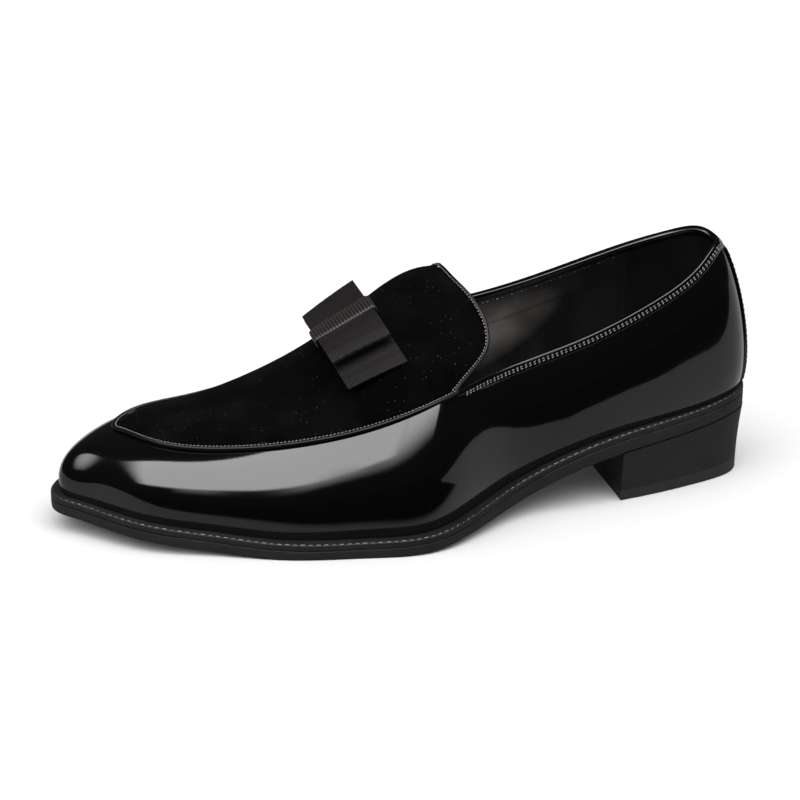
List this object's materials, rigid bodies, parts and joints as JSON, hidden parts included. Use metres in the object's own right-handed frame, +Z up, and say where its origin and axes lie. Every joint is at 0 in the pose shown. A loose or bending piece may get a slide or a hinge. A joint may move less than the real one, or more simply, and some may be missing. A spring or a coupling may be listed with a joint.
{
  "type": "formal slip-on shoe",
  "caption": "Left formal slip-on shoe: patent leather wall, velvet vamp with piped seam, flat ribbon bow, leather sole with a thin edge and a stacked heel.",
  "frame": {"origin": "middle of the bounding box's bottom, on the floor the shoe stands on", "axes": "+Z up, toe towards -Y, outer side of the foot towards +X"},
  "size_m": [0.1132, 0.2976, 0.1029],
  "materials": {
    "patent_leather": "mirror gloss",
    "velvet": "matte cut pile",
    "grosgrain": "ribbed, matte",
    "sole_leather": "satin, inked and burnished edge",
    "lining_leather": "satin"
  },
  "bodies": {
    "root": {"outsole": "sole_leather", "welt": "sole_leather", "heel": "sole_leather", "insole": "lining_leather", "upper": "patent_leather", "velvet_vamp": "velvet", "vamp_piping": "patent_leather", "collar_binding": "patent_leather", "backstay": "patent_leather", "bow_long_ribbon": "grosgrain", "bow_short_ribbon": "grosgrain", "bow_knot": "grosgrain"}
  },
  "joints": []
}
